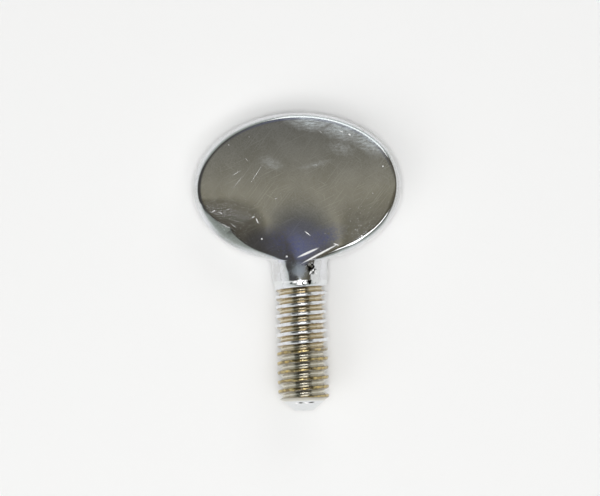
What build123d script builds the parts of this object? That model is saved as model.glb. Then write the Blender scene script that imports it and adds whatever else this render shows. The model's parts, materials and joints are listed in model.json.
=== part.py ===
from build123d import *
from math import asin, atan2, degrees, hypot
import os

# Endpin screw: an oval thumb plate, a round neck and a threaded shank, one piece of plated brass.
# Lengths are in millimetres. The screw is drawn along its own axis, with its plate in XY and its
# tip towards -Y, and is then laid on the floor as it comes to rest. The shank is drawn over the
# crests of its thread, an M6 with flat, worn crests.

# Thumb plate, an oval of four arcs
head_width = 22.2
head_height = 16.0
head_thickness = 4.1
end_radius = 6.4  # of the oval's two tight ends
rim_radius = 1.0

# Fan, the swelling by which the round neck spreads out into the plate
fan_drop = 0.4  # start of the fan below the plate's edge
fan_reach = 5.0  # end of the fan above the plate's edge
fan_width = 11.0
fan_thickness = 3.8

# Neck, shank and chamfered tip
neck_diameter = 5.9
neck_length = 2.0
runout_length = 0.4  # taper from the neck to the thread
thread_diameter = 5.55
thread_length = 12.7
tip_length = 1.1
tip_diameter = 2.0

half_width = head_width / 2
half_height = head_height / 2
half_thickness = head_thickness / 2
neck_radius = neck_diameter / 2
thread_radius = thread_diameter / 2
fan_start = -half_height - fan_drop
fan_end = -half_height + fan_reach
thread_start = -half_height - neck_length
thread_end = thread_start - thread_length
tip_end = thread_end - tip_length

# Each long arc of the oval touches the end arcs, on the line through both their centres
end_middle = half_width - end_radius
side_radius = (end_middle**2 + half_height**2 - end_radius**2) / (2 * (half_height - end_radius))
side_middle = side_radius - half_height
end_turn = degrees(atan2(side_middle, end_middle))

with BuildPart() as straight:
    # Oval plate with a rounded rim
    with BuildSketch(Plane.XY.offset(-half_thickness)):
        with BuildLine():
            CenterArc((end_middle, 0), end_radius, -end_turn, 2 * end_turn)
            CenterArc((0, -side_middle), side_radius, end_turn, 180 - 2 * end_turn)
            CenterArc((-end_middle, 0), end_radius, 180 - end_turn, 2 * end_turn)
            CenterArc((0, side_middle), side_radius, 180 + end_turn, 180 - 2 * end_turn)
        make_face()
    extrude(amount=head_thickness)
    levels = straight.edges().group_by(Axis.Z)
    fillet(levels[0] + levels[-1], rim_radius)

    # Fan from the neck's round section to a flat oval one inside the plate
    with BuildSketch(Plane.XZ.offset(-fan_start)):
        Circle(neck_radius)
    with BuildSketch(Plane.XZ.offset(-fan_end)):
        Ellipse(fan_width / 2, fan_thickness / 2)
    loft()

    # Neck, shank and tip, turned about the screw's axis
    with BuildSketch():
        with BuildLine():
            Polyline(
                (0, fan_start),
                (neck_radius, fan_start),
                (neck_radius, thread_start),
                (thread_radius, thread_start - runout_length),
                (thread_radius, thread_end),
                (tip_diameter / 2, tip_end),
                (0, tip_end),
                close=True,
            )
        make_face()
    revolve(axis=Axis.Y)

# At rest the screw bears on its neck, where the fan starts, and on the far edge of its plate.
# The floor is the line through the first that touches the round of the second.
span_y = half_height - rim_radius - fan_start
span_z = neck_radius - half_thickness + rim_radius
rest_tilt = degrees(atan2(span_z, span_y) - asin(rim_radius / hypot(span_y, span_z)))

with BuildPart() as tilted:
    add(straight.part, rotation=(-rest_tilt, 0, 0))

# The origin is on the floor, under the middle of the lying screw
lying_box = tilted.part.bounding_box()
with BuildPart() as screw:
    with Locations((0, -lying_box.center().Y, -lying_box.min.Z)):
        add(tilted.part)

os.makedirs("parts", exist_ok=True)
screw.part.label = "endpin_screw"
export_step(screw.part, "parts/endpin_screw.step")
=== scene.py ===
# Endpin screw, lying on a pale table: an oval thumb plate, a short neck and a threaded shank, in one
# piece of brass with a polished chrome plating.
import json
from math import asin, atan2, cos, degrees, hypot, pi, radians, sin

import bmesh
import bpy
from mathutils import Matrix, Vector, noise


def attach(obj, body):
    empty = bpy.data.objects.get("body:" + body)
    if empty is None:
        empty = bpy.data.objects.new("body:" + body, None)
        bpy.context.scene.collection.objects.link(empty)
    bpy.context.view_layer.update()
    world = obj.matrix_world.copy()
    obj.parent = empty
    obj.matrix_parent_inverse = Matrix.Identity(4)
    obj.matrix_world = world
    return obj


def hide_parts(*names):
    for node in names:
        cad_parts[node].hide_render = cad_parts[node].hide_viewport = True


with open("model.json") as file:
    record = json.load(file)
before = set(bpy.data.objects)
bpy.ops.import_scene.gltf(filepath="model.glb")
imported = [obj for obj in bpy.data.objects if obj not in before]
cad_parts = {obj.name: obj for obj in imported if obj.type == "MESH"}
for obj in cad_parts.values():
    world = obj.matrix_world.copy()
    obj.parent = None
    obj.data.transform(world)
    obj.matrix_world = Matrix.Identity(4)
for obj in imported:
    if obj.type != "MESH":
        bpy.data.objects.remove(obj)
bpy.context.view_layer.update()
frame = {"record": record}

# Thumb plate and neck
# The oval grip that the fingers turn, forged in brass in one piece with the round neck below it.
# The polishing wheel has rounded its rim, crowned its faces and eased the neck into them.
MM = 0.001
HAIR = 0.001 * MM  # by which the plate stays inside its size, and within which two points are one
HEAD_WIDTH = 22.2 * MM
HEAD_HEIGHT = 16.0 * MM
HEAD_THICKNESS = 4.1 * MM
WALL_STEPS = 2  # from the middle of the rim up to where its rounding starts
RIM_RADIUS = 0.8 * MM
RIM_STEPS = 6
RIM_POINTS = 72
FACE_CROWN = 0.16 * MM
FACE_EDGE = 0.88 * MM  # how far in from the plate's edge the face's own rings start
FACE_RINGS = (0.93, 0.84, 0.70, 0.52, 0.34, 0.16)
SMOOTHING = 2
NECK_DIAMETER = 5.9 * MM
NECK_END = -10.0 * MM  # along the screw's own axis, from the middle of the plate
NECK_FACES = 6  # of the rim's faces, side by side, that the neck grows from
# The fan by which the face climbs to the neck, and the neck's rings: place, and how square the section is
FAN_TOP = -0.2 * MM
FAN_END = -9.7 * MM
FAN_WIDTH = 5.6 * MM
FAN_DELAY = 1.5  # the higher, the more gently the fan starts
OPENING_SQUARENESS = 2.5
NECK_RINGS = ((-8.35 * MM, 2.45), (-8.8 * MM, 2.2), (-9.4 * MM, 2.0), (NECK_END, 2.0))


def spline_growth(points):
    """How much larger a ring of points is drawn, so that subdivision brings it back to its size."""
    return 6 / (4 + 2 * cos(2 * pi / points))


def ease(share):
    """A share that starts and ends gently."""
    share = min(1, max(0, share))
    return share * share * (3 - 2 * share)


half_width = HEAD_WIDTH / 2 * spline_growth(RIM_POINTS) - HAIR
half_height = HEAD_HEIGHT / 2 * spline_growth(RIM_POINTS) - HAIR
half_thickness = HEAD_THICKNESS / 2
edge_level = half_thickness - FACE_CROWN
wall_height = edge_level - RIM_RADIUS
neck_radius = NECK_DIAMETER / 2
neck_points = 2 * (NECK_FACES + 2 * WALL_STEPS)
neck_draw_radius = neck_radius * spline_growth(neck_points)


def crown_level(share):
    """Height of the crowned face over the middle of the plate, at a share of its reach."""
    return half_thickness - FACE_CROWN * share**2


def fan_climb(place):
    """Share of the way from the face up to the neck, at a place along the axis."""
    share = min(1, max(0, (FAN_TOP - place) / (FAN_TOP - FAN_END)))
    return ease(share**FAN_DELAY)


# The upper half is drawn from the middle of the rim inwards, a ring at a time: how far in it is, its level
# and its share of the size there
rings = [(0, wall_height * step / WALL_STEPS, 1) for step in range(WALL_STEPS + 1)]
for step in range(1, RIM_STEPS + 1):
    turn = pi / 2 * step / RIM_STEPS
    rings.append((RIM_RADIUS * (1 - cos(turn)), wall_height + RIM_RADIUS * sin(turn), 1))
edge_share = (half_height - FACE_EDGE) / (half_height - RIM_RADIUS)
rings += [(FACE_EDGE, crown_level(edge_share * share), share) for share in (1, *FACE_RINGS)]

bpy.ops.object.select_all(action="DESELECT")
bpy.ops.mesh.primitive_circle_add(vertices=RIM_POINTS, radius=1)
screw = bpy.context.object
screw.name = "endpin_screw_plated"
bpy.ops.object.mode_set(mode="EDIT")
bpy.ops.transform.resize(value=(half_width, half_height, 1), center_override=(0, 0, 0))
for (last_inset, last_level, last_share), (inset, level, share) in zip(rings, rings[1:]):
    bpy.ops.mesh.extrude_region_move(TRANSFORM_OT_translate={"value": (0, 0, level - last_level)})
    across = (half_width - inset) * share / ((half_width - last_inset) * last_share)
    along = (half_height - inset) * share / ((half_height - last_inset) * last_share)
    bpy.ops.transform.resize(value=(across, along, 1), center_override=(0, 0, 0))
bpy.ops.mesh.edge_face_add()

# The face climbs into the fan, and the neck's own faces leave the rim
JUST_OVER = 1.01  # times a width or height, so that what lies right on it counts as inside
bpy.ops.mesh.select_all(action="DESELECT")
plate_mesh = bmesh.from_edit_mesh(screw.data)
neck_edge = half_width * sin(pi * NECK_FACES / RIM_POINTS) * JUST_OVER
for face in plate_mesh.faces:
    middle = face.calc_center_median()
    if middle.y < 0 and abs(middle.x) < neck_edge and middle.z < wall_height:
        face.select_set(True)
for vert in plate_mesh.verts:
    if vert.co.z > wall_height * JUST_OVER and vert.co.y < FAN_TOP:
        spread = max(0, 1 - (vert.co.x / FAN_WIDTH) ** 2) ** 2
        face_level = max(vert.co.z, edge_level)
        level = face_level + (neck_draw_radius - face_level) * fan_climb(vert.co.y)
        vert.co.z += (level - vert.co.z) * spread
bmesh.update_edit_mesh(screw.data)
bpy.ops.mesh.delete(type="FACE")

# The neck grows out of the edge of that opening, ring by ring, and turns round as it goes
OVER_MIDDLE = 0.1 * MM  # clear of the plane where the two halves of the plate meet
bpy.ops.mesh.select_all(action="DESELECT")
plate_mesh = bmesh.from_edit_mesh(screw.data)
for edge in plate_mesh.edges:
    if edge.is_boundary and any(vert.co.z > OVER_MIDDLE for vert in edge.verts):
        edge.select_set(True)
bmesh.update_edit_mesh(screw.data)


def shape_ring(place, squareness):
    """Puts the selected half ring on the neck's section, at a place along the axis or where it is."""
    mesh = bmesh.from_edit_mesh(screw.data)
    ring = sorted((v for v in mesh.verts if v.select), key=lambda v: atan2(v.co.z, v.co.x))
    for step, vert in enumerate(ring):
        turn = pi * step / (len(ring) - 1)
        reach = vert.co.y if place is None else place
        side = abs(cos(turn)) ** (2 / squareness) * (1 if cos(turn) > 0 else -1)
        level = edge_level + (neck_draw_radius - edge_level) * fan_climb(reach)
        vert.co.x = neck_draw_radius * side
        vert.co.y = reach
        vert.co.z = level * abs(sin(turn)) ** (2 / squareness)
    ring[0].co.z = ring[-1].co.z = 0
    bmesh.update_edit_mesh(screw.data)


shape_ring(None, OPENING_SQUARENESS)
for place, squareness in NECK_RINGS:
    bpy.ops.mesh.extrude_region_move()
    shape_ring(place, squareness)
bpy.ops.object.mode_set(mode="OBJECT")

# The lower half is the upper one mirrored, and subdivision smooths the whole
mirror = screw.modifiers.new("lower half", "MIRROR")
mirror.use_axis = (False, False, True)
mirror.merge_threshold = HAIR
smooth = screw.modifiers.new("smooth", "SUBSURF")
smooth.levels = smooth.render_levels = SMOOTHING
for modifier in (mirror, smooth):
    bpy.ops.object.modifier_apply(modifier=modifier.name)

# The wheel has worn one lower shoulder of the plate. The face rolls off towards it, and a ground slope runs
# along its edge, from a ragged line: turns round the plate in degrees, and shares of the way out
ROLL_OFF = 0.26 * MM
ROLL_START = 0.45
ROLL_END = 0.90
ROLL_LIMIT = 1.15
WORN_TURN = 229
WORN_SPREAD = 42
WORN_SLOPE = 0.15
WORN_RADIUS = 9.6 * MM  # of the plate, along the middle of the worn shoulder
WORN_EDGE = (
    (186, 1.0),
    (193, 0.925),
    (202, 0.905),
    (212, 0.868),
    (219, 0.835),
    (224, 0.868),
    (232, 0.893),
    (245, 0.945),
    (254, 1.2),
)
for vert in screw.data.vertices:
    across = vert.co.x / HEAD_WIDTH * 2
    along = vert.co.y / HEAD_HEIGHT * 2
    outwards = hypot(across, along)
    turn = degrees(atan2(along, across)) % 360
    lift = min(1, max(0, (vert.co.z - wall_height) / RIM_RADIUS))
    roll = max(0, (outwards - ROLL_START) / (ROLL_END - ROLL_START))
    drop = ROLL_OFF * min(ROLL_LIMIT, roll) ** 2 * ease(1 - abs(turn - WORN_TURN) / WORN_SPREAD)
    for (start, first), (end, last) in zip(WORN_EDGE, WORN_EDGE[1:]):
        if start < turn <= end:
            edge = first + (last - first) * (turn - start) / (end - start)
            drop += WORN_SLOPE * WORN_RADIUS * max(0, outwards - edge)
    vert.co.z -= lift * drop


def linear(code):
    """A colour written as an sRGB hex code, in Blender's linear values."""
    shares = [int(code[i : i + 2], 16) / 255 for i in (1, 3, 5)]
    return (*(s / 12.92 if s <= 0.04045 else ((s + 0.055) / 1.055) ** 2.4 for s in shares), 1)


def add_node(tree, kind, inputs=None, bands=(), **settings):
    """Adds a node with its settings, its inputs set or linked, and a ramp's bands of place and colour.

    Returns its first output."""
    node = tree.nodes.new(kind)
    for name, value in settings.items():
        setattr(node, name, value)
    for name, value in (inputs or {}).items():
        if isinstance(value, bpy.types.NodeSocket):
            tree.links.new(value, node.inputs[name])
        else:
            node.inputs[name].default_value = value
    for _ in bands[2:]:
        node.color_ramp.elements.new(0.5)
    for step, (place, code) in enumerate(bands):
        node.color_ramp.elements[step].position = place
        node.color_ramp.elements[step].color = linear(code)
    return node.outputs[0] if node.outputs else node


# Where the lying screw is, from the frame: its axis and the middle of its tip
TIP_END = -23.8 * MM
tip = next(mount for mount in frame["record"]["mounts"] if mount["name"] == "tip")
tip_axis = Vector(tip["axis"])
plate_middle = Vector(tip["pos_m"]) + tip_axis * TIP_END
rest_tilt = asin(tip_axis.z)
stand_up = Matrix.Rotation(rest_tilt, 3, "X")


def along_screw(tree):
    """Millimetres along the screw's own axes, from the middle of its plate."""
    settings = {
        "Vector": tree.nodes.new("ShaderNodeTexCoord").outputs["Object"],
        "Location": -(stand_up @ plate_middle) / MM,
        "Rotation": (rest_tilt, 0, 0),
        "Scale": (1 / MM, 1 / MM, 1 / MM),
    }
    return add_node(tree, "ShaderNodeMapping", settings)


# Chrome electroplated over brass and buffed: a mirror with a soft haze and a painted blue reflection by the
# neck, and with fine wheel lines, nicks and specks whose pale marks are painted glints. All sizes in it are
# millimetres.
plating = bpy.data.materials.new("polished_chrome_plate")
plating.use_nodes = True
tree = plating.node_tree
shader = tree.nodes["Principled BSDF"]
place = along_screw(tree)

# The same place, shaken by up to a quarter of a millimetre, gives marks their ragged edges
SHAKE = 0.9
SHAKE_SIZE = 0.38462
shake = add_node(
    tree,
    "ShaderNodeTexNoise",
    {"Vector": place, "Scale": 1 / SHAKE_SIZE, "Detail": 4, "Roughness": 0.65},
)
aside = add_node(
    tree, "ShaderNodeVectorMath", {0: shake.node.outputs["Color"], 1: (0.5, 0.5, 0.5)}, operation="SUBTRACT"
)
ragged = add_node(
    tree, "ShaderNodeVectorMath", {0: aside, 1: (SHAKE, SHAKE, 0), 2: place}, operation="MULTIPLY_ADD"
)


def strongest(tree, masks):
    """The largest of some masks, at each point."""
    best = masks[0]
    for mask in masks[1:]:
        best = add_node(tree, "ShaderNodeMath", {0: best, 1: mask}, operation="MAXIMUM")
    return best


MARK_DEPTH = 3.0  # how far under and over the face a mark reaches, so that none shows on the underside


def spot_mask(tree, place, spots, core):
    """Long spots on the upper face, from 1 at their core, a share of their size, to 0 at their edge.

    A spot is its place, length and width in millimetres, and its direction in degrees."""
    masks = []
    for across, along, length, width, turn in spots:
        shrunk = add_node(
            tree,
            "ShaderNodeMapping",
            {
                "Vector": place,
                "Location": (across, along, half_thickness / MM),
                "Rotation": (0, 0, radians(turn)),
                "Scale": (length / 2, width / 2, MARK_DEPTH),
            },
            vector_type="TEXTURE",
        )
        apart = add_node(tree, "ShaderNodeVectorMath", {0: shrunk}, operation="LENGTH").node.outputs["Value"]
        masks.append(
            add_node(tree, "ShaderNodeMapRange", {"Value": apart, "From Min": 1.0, "From Max": core})
        )
    return strongest(tree, masks)


# Wheel lines: direction in degrees, length and spacing in millimetres, and the noise level they start at.
# Real ones lie a few hundredths of a millimetre apart. They are drawn coarser than that, so that they show
WHEEL_LINES = (
    (24, 4.0, 0.14, 0.66),
    (52, 6.0, 0.12, 0.66),
    (-34, 3.0, 0.12, 0.69),
    (98, 2.5, 0.13, 0.71),
)
LINE_RISE = 0.12  # of the noise, from where a line starts to where it is full
lines = []
for turn, length, spacing, start in WHEEL_LINES:
    turned = add_node(tree, "ShaderNodeMapping", {"Vector": place, "Rotation": (0, 0, radians(-turn))})
    stretched = add_node(
        tree, "ShaderNodeMapping", {"Vector": turned, "Scale": (1 / length, 1 / spacing, 0)}
    )
    grain = add_node(
        tree,
        "ShaderNodeTexNoise",
        {"Vector": stretched, "Scale": 1, "Detail": 1, "Distortion": 0.15},
        noise_dimensions="2D",
    )
    lines.append(
        add_node(
            tree, "ShaderNodeMapRange", {"Value": grain, "From Min": start, "From Max": start + LINE_RISE}
        )
    )

# Lines and haze keep to the upper face: heights over the middle of the plate where they start and are full
FACE_START = 1.62
FACE_FULL = 1.80
height = add_node(tree, "ShaderNodeSeparateXYZ", {"Vector": place}).node.outputs["Z"]
on_face = add_node(
    tree, "ShaderNodeMapRange", {"Value": height, "From Min": FACE_START, "From Max": FACE_FULL}
)
line_mask = add_node(tree, "ShaderNodeMath", {0: strongest(tree, lines), 1: on_face}, operation="MULTIPLY")

# Specks, about a tenth of a millimetre wide, in about one cell of three
SPECK_SPACING = 0.95
SPECK_RADIUS = 0.075
SPECK_CORE = 0.4
EMPTY_CELLS = 0.62
cells = add_node(tree, "ShaderNodeTexVoronoi", {"Vector": place, "Scale": 1 / SPECK_SPACING})
speck = add_node(
    tree,
    "ShaderNodeMapRange",
    {
        "Value": cells,
        "From Min": SPECK_RADIUS / SPECK_SPACING,
        "From Max": SPECK_CORE * SPECK_RADIUS / SPECK_SPACING,
    },
)
chosen = add_node(
    tree, "ShaderNodeMath", {0: cells.node.outputs["Color"], 1: EMPTY_CELLS}, operation="GREATER_THAN"
)
speck_mask = add_node(tree, "ShaderNodeMath", {0: speck, 1: chosen}, operation="MULTIPLY")

# Nicks, fainter scratches, and long streaks of painted light across the foot of the fan, drawn as scuffs
NICKS = (
    (-4.80, -3.10, 0.40, 0.10, 23),
    (-4.38, -3.50, 0.70, 0.10, -68),
    (0.95, -5.05, 0.95, 0.15, -42),
    (5.75, 5.40, 0.40, 0.20, -30),
    (4.90, 5.75, 0.50, 0.11, -20),
    (-3.95, -5.45, 0.24, 0.22, 0),
    (-1.35, -7.45, 0.30, 0.26, 0),
    (9.20, 1.90, 0.25, 0.15, 80),
    (6.70, -5.45, 0.22, 0.18, 40),
)
SCRATCHES = (
    (-6.45, 1.65, 1.40, 0.12, 29),
    (-4.30, 1.50, 3.10, 0.09, 56),
    (-6.30, 0.70, 2.20, 0.08, 50),
    (2.65, 5.80, 0.70, 0.11, -41),
    (-6.90, -3.95, 1.30, 0.09, -38),
    (-5.30, 3.05, 0.60, 0.11, -50),
    (-9.00, -2.30, 0.50, 0.14, 35),
    (-8.20, -2.55, 0.60, 0.16, -40),
    (-7.40, -2.20, 0.50, 0.14, 20),
    (8.30, 3.80, 0.90, 0.10, 70),
    (-2.30, -1.20, 0.40, 0.14, 10),
)
LIGHT_STREAKS = ((0.90, -7.12, 2.9, 0.30, 23), (2.14, -7.28, 5.2, 0.25, 27), (3.95, -6.30, 0.7, 0.16, -20))
nick_mask = spot_mask(tree, place, NICKS, core=0.4)
scratch_mask = spot_mask(tree, place, SCRATCHES, core=0.2)
light_streak_mask = spot_mask(tree, place, LIGHT_STREAKS, core=0.55)

# Patches of haze that buffing left in the plating, streaked by the wheel, fainter and grainy ones, and the
# painted blue reflection round the fan
HAZE_PATCHES = (
    (1.90, 7.00, 7.4, 2.6, -8),
    (5.00, 6.20, 7.0, 3.4, -19),
    (7.80, 4.90, 6.6, 3.4, -33),
)
FAINT_HAZE = (
    (4.80, 3.95, 4.2, 1.8, -10),
    (-2.60, 2.55, 3.2, 1.6, -25),
    (1.90, 2.30, 4.4, 0.8, 12),
)
FAINT_SHARE = 0.5
BLUE_REFLECTION_PATCHES = ((-1.0, -6.2, 7.6, 4.6, -22), (2.4, -5.7, 6.4, 3.0, 24))
GRAIN_SIZE = 0.3125
STREAK_LENGTH = 0.83333
STREAK_WIDTH = 0.16667
STREAK_TURN = 25
BETWEEN_STREAKS = 0.1  # what is left of the haze there
broken = add_node(
    tree, "ShaderNodeTexNoise", {"Vector": place, "Scale": 1 / GRAIN_SIZE, "Detail": 5, "Roughness": 0.8}
)
broken_share = add_node(tree, "ShaderNodeMapRange", {"Value": broken, "From Min": 0.34, "From Max": 0.62})
swept = add_node(
    tree,
    "ShaderNodeMapping",
    {
        "Vector": place,
        "Rotation": (0, 0, radians(STREAK_TURN)),
        "Scale": (1 / STREAK_LENGTH, 1 / STREAK_WIDTH, 0),
    },
)
streaks = add_node(
    tree, "ShaderNodeTexNoise", {"Vector": swept, "Scale": 1, "Detail": 4, "Roughness": 0.75}
)
streak_share = add_node(
    tree,
    "ShaderNodeMapRange",
    {"Value": streaks, "From Min": 0.34, "From Max": 0.66, "To Min": BETWEEN_STREAKS},
)
streak_share = add_node(tree, "ShaderNodeMath", {0: streak_share, 1: on_face}, operation="MULTIPLY")
haze = spot_mask(tree, ragged, HAZE_PATCHES, core=0.1)
faint_haze = spot_mask(tree, ragged, FAINT_HAZE, core=0.1)
faint_haze = add_node(tree, "ShaderNodeMath", {0: faint_haze, 1: FAINT_SHARE}, operation="MULTIPLY")
faint_haze = add_node(tree, "ShaderNodeMath", {0: faint_haze, 1: broken_share}, operation="MULTIPLY")
haze = strongest(tree, (haze, faint_haze))
haze_and_sheen_mask = add_node(tree, "ShaderNodeMath", {0: haze, 1: streak_share}, operation="MULTIPLY")
blue_reflection = spot_mask(tree, ragged, BLUE_REFLECTION_PATCHES, core=0.3)
blue_reflection_mask = add_node(tree, "ShaderNodeMath", {0: blue_reflection, 1: broken_share}, operation="MULTIPLY")

# Pits on the right of the neck, a fifth of a millimetre wide, some black and some with a painted glint, and
# a dull spot beside them, whose blue-grey colour is a painted reflection
PITTED = ((1.15, -8.75, 1.9, 1.1, -62),)
PIT_SPACING = 0.24
DARK_OVER = 0.52
BRIGHT_UNDER = 0.36
DULL_NECK_WITH_PAINTED_BLUE = ((-0.10, -9.0, 3.0, 3.0, 90),)
pits = add_node(tree, "ShaderNodeTexVoronoi", {"Vector": ragged, "Scale": 1 / PIT_SPACING})
pit_kind = pits.node.outputs["Color"]
pitted = spot_mask(tree, ragged, PITTED, core=0.7)
dark_pits = add_node(tree, "ShaderNodeMath", {0: pit_kind, 1: DARK_OVER}, operation="GREATER_THAN")
dark_pits = add_node(tree, "ShaderNodeMath", {0: dark_pits, 1: pitted}, operation="MULTIPLY")
bright_pits = add_node(tree, "ShaderNodeMath", {0: pit_kind, 1: BRIGHT_UNDER}, operation="LESS_THAN")
bright_pits = add_node(tree, "ShaderNodeMath", {0: bright_pits, 1: pitted}, operation="MULTIPLY")
dull_neck_with_painted_blue = spot_mask(tree, ragged, DULL_NECK_WITH_PAINTED_BLUE, core=0.2)

# Painted glints, white and not metal, fill the nicks, the light streaks and the bright pits, and lie fainter
# on the scratches and specks. A painted sheen lies as a thin veil on the haze, and a thinner one on the
# painted blue reflection
SCRATCH_AND_SPECK_GLINT = 0.42
HAZE_SHEEN = 0.75
BLUE_SHEEN = 0.12
glinting_scratches_and_specks = strongest(tree, (scratch_mask, speck_mask))
glinting_scratches_and_specks = add_node(tree, "ShaderNodeMath", {0: glinting_scratches_and_specks, 1: SCRATCH_AND_SPECK_GLINT}, operation="MULTIPLY")
haze_sheen = add_node(tree, "ShaderNodeMath", {0: haze_and_sheen_mask, 1: HAZE_SHEEN}, operation="MULTIPLY")
blue_sheen = add_node(tree, "ShaderNodeMath", {0: blue_reflection_mask, 1: BLUE_SHEEN}, operation="MULTIPLY")
painted_glint_mask = strongest(tree, (nick_mask, light_streak_mask, bright_pits, glinting_scratches_and_specks))

# The plating's own grey has a fine mottle, a seventh of a millimetre across, and faint clouds. The mottle is
# drawn coarser than the real one, so that it shows
MOTTLE_SIZE = 0.142857
CLOUD_SIZE = 2.5
mottle = add_node(
    tree, "ShaderNodeTexNoise", {"Vector": place, "Scale": 1 / MOTTLE_SIZE, "Detail": 2, "Roughness": 0.6}
)
clouds = add_node(tree, "ShaderNodeTexNoise", {"Vector": place, "Scale": 1 / CLOUD_SIZE, "Detail": 3})
grey = add_node(tree, "ShaderNodeMath", {0: mottle, 1: clouds}, operation="ADD")
grey = add_node(tree, "ShaderNodeMapRange", {"Value": grey, "From Min": 0.75, "From Max": 1.25})
GREY_BANDS = ((0.0, "#d5d5d4"), (0.5, "#dfe0e2"), (1.0, "#e9eaed"))
colour = add_node(tree, "ShaderNodeValToRGB", {"Fac": grey}, GREY_BANDS)
# Painted over the grey: a sheen on the wheel lines and the haze, blue reflections, black pits, glints
for mask, code in (
    (line_mask, "#eef0f4"),
    (haze_and_sheen_mask, "#e2eef2"),
    (dull_neck_with_painted_blue, "#ccd8e6"),
    (blue_reflection_mask, "#a6abdc"),
    (dark_pits, "#1d1c1c"),
    (painted_glint_mask, "#f4f4f2"),
):
    colour = add_node(tree, "ShaderNodeMixRGB", {"Fac": mask, "Color1": colour, "Color2": linear(code)})
tree.links.new(colour, shader.inputs["Base Color"])
BUFFED = 0.05
LEAST_BUFFED = 0.14
dullness = add_node(
    tree,
    "ShaderNodeMapRange",
    {"Value": mottle, "From Min": 0.3, "From Max": 0.7, "To Min": BUFFED, "To Max": LEAST_BUFFED},
)
for mask, rough in ((haze_and_sheen_mask, 0.22), (dull_neck_with_painted_blue, 0.5), (painted_glint_mask, 0.6)):
    marked = add_node(tree, "ShaderNodeMath", {0: mask, 1: rough}, operation="MULTIPLY")
    dullness = add_node(tree, "ShaderNodeMath", {0: dullness, 1: marked}, operation="MAXIMUM")
tree.links.new(dullness, shader.inputs["Roughness"])
# The painted glints, and the painted sheen on the haze and on the blue, are partly not metal
painted_non_metal = strongest(tree, (painted_glint_mask, haze_sheen, blue_sheen))
metal_share = add_node(tree, "ShaderNodeMath", {0: 1.0, 1: painted_non_metal}, operation="SUBTRACT")
tree.links.new(metal_share, shader.inputs["Metallic"])
screw.data.materials.append(plating)

# Threaded shank
# An M6 thread of one millimetre pitch, right-handed, with rounded crests and roots, whose groove runs out
# into the neck. The end is turned to a chamfer with a small flat.
CREST_RADIUS = 2.775 * MM
PITCH = 1.0 * MM
GROOVE_DEPTH = 0.5 * MM
CREST_SHARE = 0.30
ROOT_SHARE = 0.24
CREST_ROUND = 0.03 * MM
CREST_LEAN = 0.05 * MM  # drop of the worn crest towards the tip
ROOT_ROUND = 0.06 * MM
FIRST_TURN = TIP_END - 1.64 * PITCH
SPARE_TURNS = 3  # at the two ends, which are cut off
TURN_STEPS = 96

# One pitch of the profile: place along the axis, and level under the crest
curve_shares = (0, 0.25, 0.5, 0.75, 1)
root_start = (1 + CREST_SHARE - ROOT_SHARE) / 2
profile = [
    (CREST_SHARE * s * PITCH, -CREST_ROUND * (2 * s - 1) ** 2 - CREST_LEAN * (1 - s)) for s in curve_shares
]
for s in curve_shares:
    profile.append(((root_start + ROOT_SHARE * s) * PITCH, -GROOVE_DEPTH + ROOT_ROUND * (2 * s - 1) ** 2))
profile.append((PITCH, profile[0][1]))

bpy.ops.object.select_all(action="DESELECT")
bpy.ops.mesh.primitive_plane_add(size=PITCH)
shank = bpy.context.object
bpy.ops.object.mode_set(mode="EDIT")
bpy.ops.mesh.merge(type="CENTER")
bpy.ops.transform.translate(value=(CREST_RADIUS + profile[0][1], FIRST_TURN, 0))
for (last_along, last_level), (along, level) in zip(profile, profile[1:]):
    step = (level - last_level, along - last_along, 0)
    bpy.ops.mesh.extrude_region_move(TRANSFORM_OT_translate={"value": step})
bpy.ops.object.mode_set(mode="OBJECT")
winding = shank.modifiers.new("winding", "SCREW")
winding.axis = "Y"
winding.screw_offset = PITCH
winding.iterations = int((NECK_END - TIP_END) / PITCH) + SPARE_TURNS
winding.steps = winding.render_steps = TURN_STEPS
bpy.ops.object.modifier_apply(modifier=winding.name)

# The plating lies a little unevenly on it, the groove fades out towards the neck, and both ends are cut
# square, the lower one a little past the tip
CAST_WAVES = 0.045 * MM
WAVE_LENGTH = 0.5 * MM
RUNOUT = 0.9 * MM
SHANK_TOP = NECK_END - 0.05 * MM
SHANK_FOOT = TIP_END - 0.3 * PITCH
WELD = 0.002 * MM
CUT_TOLERANCE = 0.0005 * MM
bpy.ops.object.mode_set(mode="EDIT")
bpy.ops.mesh.select_all(action="SELECT")
bpy.ops.mesh.remove_doubles(threshold=WELD)
shank_mesh = bmesh.from_edit_mesh(shank.data)
for vert in shank_mesh.verts:
    outwards = hypot(vert.co.x, vert.co.z)
    fade = ease((vert.co.y - NECK_END + RUNOUT) / RUNOUT)
    waved = outwards - CAST_WAVES * (0.5 + 0.5 * noise.noise(vert.co / WAVE_LENGTH))
    growth = (waved + fade * (neck_radius - waved)) / outwards
    vert.co.x *= growth
    vert.co.z *= growth
bmesh.update_edit_mesh(shank.data)
for cut, outwards in ((SHANK_TOP, 1), (SHANK_FOOT, -1)):
    bpy.ops.mesh.select_all(action="SELECT")
    bpy.ops.mesh.bisect(
        plane_co=(0, cut, 0),
        plane_no=(0, outwards, 0),
        use_fill=True,
        clear_outer=True,
        threshold=CUT_TOLERANCE,
    )
bpy.ops.mesh.select_all(action="SELECT")
bpy.ops.mesh.normals_make_consistent(inside=False)
bpy.ops.object.mode_set(mode="OBJECT")

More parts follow.
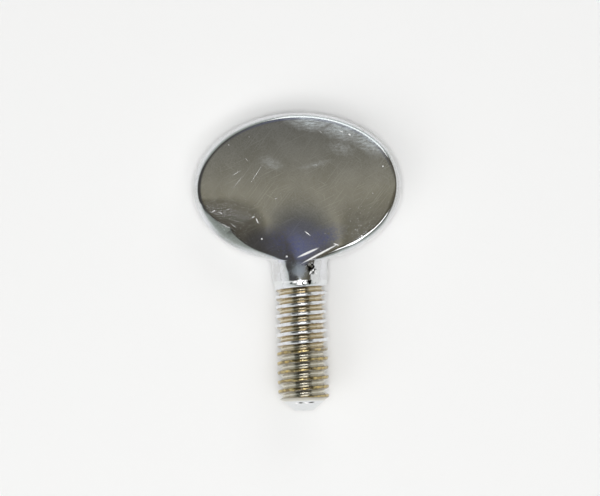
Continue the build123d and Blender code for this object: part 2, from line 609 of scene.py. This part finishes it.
# The chamfer is what a wide cone leaves of the shank
TIP_RADIUS = 0.99 * MM
CHAMFER_SLOPE = 1.26  # width gained for each length along the axis
CONE_LENGTH = 20 * MM
bpy.ops.object.select_all(action="DESELECT")
bpy.ops.mesh.primitive_cone_add(
    vertices=2 * TURN_STEPS,
    radius1=TIP_RADIUS,
    radius2=TIP_RADIUS + CHAMFER_SLOPE * CONE_LENGTH,
    depth=CONE_LENGTH,
    location=(0, TIP_END + CONE_LENGTH / 2, 0),
    rotation=(-pi / 2, 0, 0),
)
cone = bpy.context.object
bpy.context.view_layer.objects.active = shank
chamfer = shank.modifiers.new("chamfer", "BOOLEAN")
chamfer.operation = "INTERSECT"
chamfer.solver = "EXACT"
chamfer.object = cone
bpy.ops.object.modifier_apply(modifier=chamfer.name)
bpy.data.objects.remove(cone)

# The same plating on the thread, duller from the die. Use has left brown grime in the upper grooves, and has
# worn the lower crests down to the brass. A band of painted shade darkens the flanks under the crests.
worn_plating = bpy.data.materials.new("worn_thread_plating")
worn_plating.use_nodes = True
tree = worn_plating.node_tree
shader = tree.nodes["Principled BSDF"]
place = along_screw(tree)

# Depth in the groove, from 0 on the crest to 1 at the root, made patchy as the grime and painted shade lie
GRIME_SIZE = 0.76923
GRIME_SPREAD = 0.14
parts = add_node(tree, "ShaderNodeSeparateXYZ", {"Vector": place}).node.outputs
section = add_node(tree, "ShaderNodeCombineXYZ", {"X": parts["X"], "Y": parts["Z"]})
reach = add_node(tree, "ShaderNodeVectorMath", {0: section}, operation="LENGTH").node.outputs["Value"]
depth = add_node(
    tree,
    "ShaderNodeMapRange",
    {
        "Value": reach,
        "From Min": CREST_RADIUS / MM,
        "From Max": (CREST_RADIUS - GROOVE_DEPTH) / MM,
    },
)
patchy = add_node(
    tree, "ShaderNodeTexNoise", {"Vector": place, "Scale": 1 / GRIME_SIZE, "Detail": 5, "Roughness": 0.7}
)
uneven = add_node(
    tree,
    "ShaderNodeMapRange",
    {"Value": patchy, "From Min": 0.3, "From Max": 0.7, "To Min": -GRIME_SPREAD, "To Max": GRIME_SPREAD},
)
patchy_depth = add_node(tree, "ShaderNodeMath", {0: depth, 1: uneven}, operation="ADD", use_clamp=True)

# The upper turns by depth, bright on the crest and brown below it, and the lower ones, with spots of brass.
# In both, a darker band on the flanks just under the crest is painted shade
UPPER_BANDS = (
    (0.0, "#eceef2"),
    (0.18, "#e6e8ec"),
    (0.32, "#a0907a"),
    (0.60, "#bfb296"),
    (0.86, "#d5ccb7"),
)
LOWER_BANDS = (
    (0.0, "#c9bb8e"),
    (0.07, "#bcae84"),
    (0.15, "#7c6d50"),
    (0.28, "#a39d8f"),
    (0.48, "#c3c0b8"),
    (0.95, "#d6d2c5"),
)
BRASS = "#cfb77c"
BRASS_SIZE = 0.3125
upper = add_node(tree, "ShaderNodeValToRGB", {"Fac": patchy_depth}, UPPER_BANDS)
lower = add_node(tree, "ShaderNodeValToRGB", {"Fac": patchy_depth}, LOWER_BANDS)
speckled = add_node(
    tree, "ShaderNodeTexNoise", {"Vector": place, "Scale": 1 / BRASS_SIZE, "Detail": 4, "Roughness": 0.7}
)
brass = add_node(tree, "ShaderNodeMapRange", {"Value": speckled, "From Min": 0.46, "From Max": 0.58})
on_crest = add_node(tree, "ShaderNodeMapRange", {"Value": patchy_depth, "From Min": 0.2, "From Max": 0.06})
brass = add_node(tree, "ShaderNodeMath", {0: brass, 1: on_crest}, operation="MULTIPLY")
lower = add_node(tree, "ShaderNodeMixRGB", {"Fac": brass, "Color1": lower, "Color2": linear(BRASS)})

# Where along the axis the wear, the clean tip and the clean run-out start and are full, in millimetres
WORN_PART = (-17.0, -17.4)
CLEAN_TIP = (-22.7, -22.9)
CLEAN_RUNOUT = (-10.9, -10.3)
stretches = []
for start, full in (WORN_PART, CLEAN_TIP, CLEAN_RUNOUT):
    limits = {"Value": parts["Y"], "From Min": start, "From Max": full}
    stretches.append(add_node(tree, "ShaderNodeMapRange", limits))
worn_part, clean_tip, clean_runout = stretches
clean = strongest(tree, (clean_tip, clean_runout))
colour = add_node(tree, "ShaderNodeMixRGB", {"Fac": worn_part, "Color1": upper, "Color2": lower})
colour = add_node(tree, "ShaderNodeMixRGB", {"Fac": clean, "Color1": colour, "Color2": linear("#e8eaeb")})

# Pits where the groove runs out, as on the neck, and a few dashes of painted dark reflection and of painted
# glint on the tip and by the run-out
RUNOUT_PITS = ((0.75, -10.25, 2.2, 0.8, 6),)
RUNOUT_DARK_OVER = 0.55
DARK_REFLECTION_DASHES = ((-0.34, -23.02, 0.6, 0.15, 0), (0.80, -23.0, 0.75, 0.15, 5), (-0.95, -10.3, 0.4, 0.2, 8))
GLINT_DASHES = ((0.22, -23.04, 0.6, 0.24, 0), (-0.80, -23.06, 0.45, 0.22, 0), (-0.55, -10.2, 0.7, 0.34, 8))
pits = add_node(tree, "ShaderNodeTexVoronoi", {"Vector": place, "Scale": 1 / PIT_SPACING})
pit_kind = pits.node.outputs["Color"]
pitted = spot_mask(tree, place, RUNOUT_PITS, core=0.6)
dark_pits = add_node(tree, "ShaderNodeMath", {0: pit_kind, 1: RUNOUT_DARK_OVER}, operation="GREATER_THAN")
dark_pits = add_node(tree, "ShaderNodeMath", {0: dark_pits, 1: pitted}, operation="MULTIPLY")
dark_pits_and_reflections = strongest(tree, (dark_pits, spot_mask(tree, place, DARK_REFLECTION_DASHES, core=0.5)))
glint_dash_mask = spot_mask(tree, place, GLINT_DASHES, core=0.5)
for mask, code in ((dark_pits_and_reflections, "#2a2723"), (glint_dash_mask, "#ffffff")):
    colour = add_node(tree, "ShaderNodeMixRGB", {"Fac": mask, "Color1": colour, "Color2": linear(code)})
tree.links.new(colour, shader.inputs["Base Color"])
THREAD_SMOOTH = 0.13
THREAD_ROUGH = 0.26
dullness = add_node(
    tree,
    "ShaderNodeMapRange",
    {"Value": patchy, "From Min": 0.3, "From Max": 0.7, "To Min": THREAD_SMOOTH, "To Max": THREAD_ROUGH},
)
tree.links.new(dullness, shader.inputs["Roughness"])
metal_share = add_node(tree, "ShaderNodeMath", {0: 1.0, 1: glint_dash_mask}, operation="SUBTRACT")
tree.links.new(metal_share, shader.inputs["Metallic"])
shank.data.materials.clear()
shank.data.materials.append(worn_plating)

# The shank's upper end opens, and a band of faces joins it to the neck
TOP_TOLERANCE = 0.005 * MM
FACING_UP = 0.9
SHARP_ANGLE = 36
bpy.ops.object.select_all(action="DESELECT")
shank.select_set(True)
screw.select_set(True)
bpy.context.view_layer.objects.active = screw
bpy.ops.object.join()
bpy.ops.object.mode_set(mode="EDIT")
bpy.ops.mesh.select_all(action="DESELECT")
screw_mesh = bmesh.from_edit_mesh(screw.data)
for face in screw_mesh.faces:
    at_top = abs(face.calc_center_median().y - SHANK_TOP) < TOP_TOLERANCE
    if at_top and abs(face.normal.y) > FACING_UP:
        face.select_set(True)
bmesh.update_edit_mesh(screw.data)
bpy.ops.mesh.delete(type="ONLY_FACE")
bpy.ops.mesh.select_all(action="DESELECT")
screw_mesh = bmesh.from_edit_mesh(screw.data)
for edge in screw_mesh.edges:
    if edge.is_boundary:
        edge.select_set(True)
bmesh.update_edit_mesh(screw.data)
bpy.ops.mesh.bridge_edge_loops()
bpy.ops.mesh.select_all(action="SELECT")
bpy.ops.mesh.normals_make_consistent(inside=False)
bpy.ops.object.mode_set(mode="OBJECT")
bpy.ops.object.shade_smooth_by_angle(angle=radians(SHARP_ANGLE))

# The screw is laid down as the frame's mounts say
screw.rotation_euler.x = -rest_tilt
screw.location = plate_middle
bpy.ops.object.transform_apply()
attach(screw, "root")
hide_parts("endpin_screw")

# Table
# A sheet of smooth white paper, larger than the view, that takes the soft shadow of the screw.
# It lies flat under the screw, and being matte it shows only that shadow.
FLOOR_SIZE = 1.6
bpy.ops.object.select_all(action="DESELECT")
bpy.ops.mesh.primitive_plane_add(size=FLOOR_SIZE)
floor = bpy.context.object
floor.name = "paper_table"
paper = bpy.data.materials.new("matte_white_paper")
paper.use_nodes = True
paper_shader = paper.node_tree.nodes["Principled BSDF"]
paper_shader.inputs["Base Color"].default_value = linear("#f7f7f6")
paper_shader.inputs["Roughness"].default_value = 0.9
paper_shader.inputs["Specular IOR Level"].default_value = 0.1
floor.data.materials.append(paper)

# Light
# A white tent with a lamp at its left, soft boxes on the near side, a far window and a fill by the camera.
# The metal sees its pale walls, the dim opening in its roof, a dark stand, a dark corner and a blue patch.
world = bpy.data.worlds.new("light_tent")
bpy.context.scene.world = world
world.use_nodes = True
tent = world.node_tree
tent.nodes.clear()
way = tent.nodes.new("ShaderNodeTexCoord").outputs["Generated"]


def tent_direction(bearing, lean):
    """A unit direction from the screw: bearing from +X, and lean from straight up, in degrees."""
    flat_part = sin(radians(lean))
    return (flat_part * cos(radians(bearing)), flat_part * sin(radians(bearing)), cos(radians(lean)))


def angle_from(bearing, lean):
    """The angle between a direction in the tent and the one looked in, in degrees."""
    toward = {0: way, 1: tent_direction(bearing, lean)}
    facing = add_node(tent, "ShaderNodeVectorMath", toward, operation="DOT_PRODUCT").node.outputs["Value"]
    turn = add_node(tent, "ShaderNodeMath", {0: facing}, operation="ARCCOSINE")
    return add_node(tent, "ShaderNodeMath", {0: turn, 1: 180 / pi}, operation="MULTIPLY")


# The tent by the angle from the middle of its roof, and then what stands in it: bearing and lean, the angles
# at which it starts and is full, and its colour
TENT_BANDS = (
    (20.0, "#5e5a4d"),
    (28.0, "#524e45"),
    (39.0, "#3d3a36"),
    (40.5, "#8f968f"),
    (50.0, "#9aa19b"),
    (60.0, "#a9afaa"),
    (68.0, "#d0d4d2"),
    (90.0, "#f6f6f6"),
)
TENT_SPAN = 90.0
BLUE_PATCH = (82, 28, 16, 5, "#70758a")
RIGHT_WALL = (0, 78, 36, 31, "#e6e6e3")
DARK_STAND = (172, 30, 22, 18, "#4b4947")
DARK_CORNER = (264, 42, 17, 13, "#45443f")
tent_share = add_node(tent, "ShaderNodeMath", {0: angle_from(25, 17), 1: TENT_SPAN}, operation="DIVIDE")
tent_bands = [(angle / TENT_SPAN, code) for angle, code in TENT_BANDS]
roof = add_node(tent, "ShaderNodeValToRGB", {"Fac": tent_share}, tent_bands)
for bearing, lean, start, full, code in (BLUE_PATCH, RIGHT_WALL, DARK_STAND, DARK_CORNER):
    limits = {"Value": angle_from(bearing, lean), "From Min": start, "From Max": full}
    share = add_node(tent, "ShaderNodeMapRange", limits)
    roof = add_node(tent, "ShaderNodeMixRGB", {"Fac": share, "Color1": roof, "Color2": linear(code)})

# The inside of the opening, by how far it leans to the far side of the screw
OPENING_BANDS = (
    (0.0, "#5b574b"),
    (0.05, "#6c6859"),
    (0.08, "#6d695b"),
    (0.10, "#827e6e"),
    (0.12, "#9a9685"),
    (0.15, "#8a877a"),
    (0.18, "#7d7b71"),
    (0.24, "#6a6963"),
    (0.30, "#616167"),
)
LEAN_SPAN = 0.5
OPENING_START = 24
OPENING_FULL = 12
far_part = add_node(tent, "ShaderNodeSeparateXYZ", {"Vector": way}).node.outputs["Y"]
far_lean = add_node(tent, "ShaderNodeMath", {0: far_part, 1: LEAN_SPAN}, operation="DIVIDE")
opening_bands = [(lean / LEAN_SPAN, code) for lean, code in OPENING_BANDS]
opening = add_node(tent, "ShaderNodeValToRGB", {"Fac": far_lean}, opening_bands)
limits = {"Value": angle_from(50, 11), "From Min": OPENING_START, "From Max": OPENING_FULL}
inside = add_node(tent, "ShaderNodeMapRange", limits)
roof = add_node(tent, "ShaderNodeMixRGB", {"Fac": inside, "Color1": roof, "Color2": opening})

# The metal mirrors that tent, and all else gets an even light from it
AMBIENT = 0.20
walls = add_node(tent, "ShaderNodeBackground", {"Color": linear("#ffffff"), "Strength": AMBIENT})
seen = add_node(tent, "ShaderNodeBackground", {"Color": roof, "Strength": 1.0})
path = tent.nodes.new("ShaderNodeLightPath")
mixed = add_node(tent, "ShaderNodeMixShader", {0: path.outputs["Is Glossy Ray"], 1: walls, 2: seen})
add_node(tent, "ShaderNodeOutputWorld", {"Surface": mixed})

# Flat lamps turned to the screw: bearing and lean, distance, width and length in metres, the light that each
# gives on a sheet that faces it, and whether the metal mirrors it
LAMPS = (
    ("left_lamp", 222, 48, 0.7, 0.5, 0.5, 0.26, False),
    ("camera_fill", 270, 1.5, 0.45, 0.12, 0.12, 0.36, False),
    ("camera_glint", 270, 2.0, 0.45, 0.04, 0.04, 0.03, True),
    ("soft_box", 279, 25, 0.5, 0.28, 0.22, 0.18, True),
    ("side_box", 318, 27, 0.5, 0.20, 0.07, 0.04, True),
    ("far_window", 69, 52, 0.6, 0.50, 0.24, 0.13, True),
)
for name, bearing, lean, distance, width, length, level, shows in LAMPS:
    lamp_data = bpy.data.lights.new(name, "AREA")
    lamp_data.shape = "RECTANGLE"
    lamp_data.size = width
    lamp_data.size_y = length
    lamp_data.energy = level * pi * pi * distance**2
    lamp = bpy.data.objects.new(name, lamp_data)
    bpy.context.scene.collection.objects.link(lamp)
    lamp.location = Vector(tent_direction(bearing, lean)) * distance
    lamp.rotation_euler = lamp.location.to_track_quat("Z", "Y").to_euler()
    lamp.visible_camera = False
    lamp.visible_glossy = shows

# Camera
# It stands straight over the screw and looks down, turned a little, so that the screw leans in the view.
# Its lens is long, so the plate and the lower tip keep their proportions.
VIEW_WIDTH = 64.17 * MM
VIEW_DISTANCE = 400 * MM
VIEW_MIDDLE = (0.09 * MM, 1.46 * MM)
VIEW_HEIGHT = 3 * MM  # over the table, about the middle of the screw
VIEW_TURN = -1.8
SENSOR_WIDTH = 36
NEAR_CLIP = 0.01
camera_data = bpy.data.cameras.new("camera")
camera = bpy.data.objects.new("camera", camera_data)
bpy.context.scene.collection.objects.link(camera)
camera.location = (*VIEW_MIDDLE, VIEW_DISTANCE + VIEW_HEIGHT)
camera.rotation_euler = (0, 0, radians(VIEW_TURN))
camera_data.sensor_width = SENSOR_WIDTH
camera_data.lens = SENSOR_WIDTH * VIEW_DISTANCE / VIEW_WIDTH
camera_data.clip_start = NEAR_CLIP
bpy.context.scene.camera = camera
bpy.context.scene.view_settings.view_transform = "Standard"
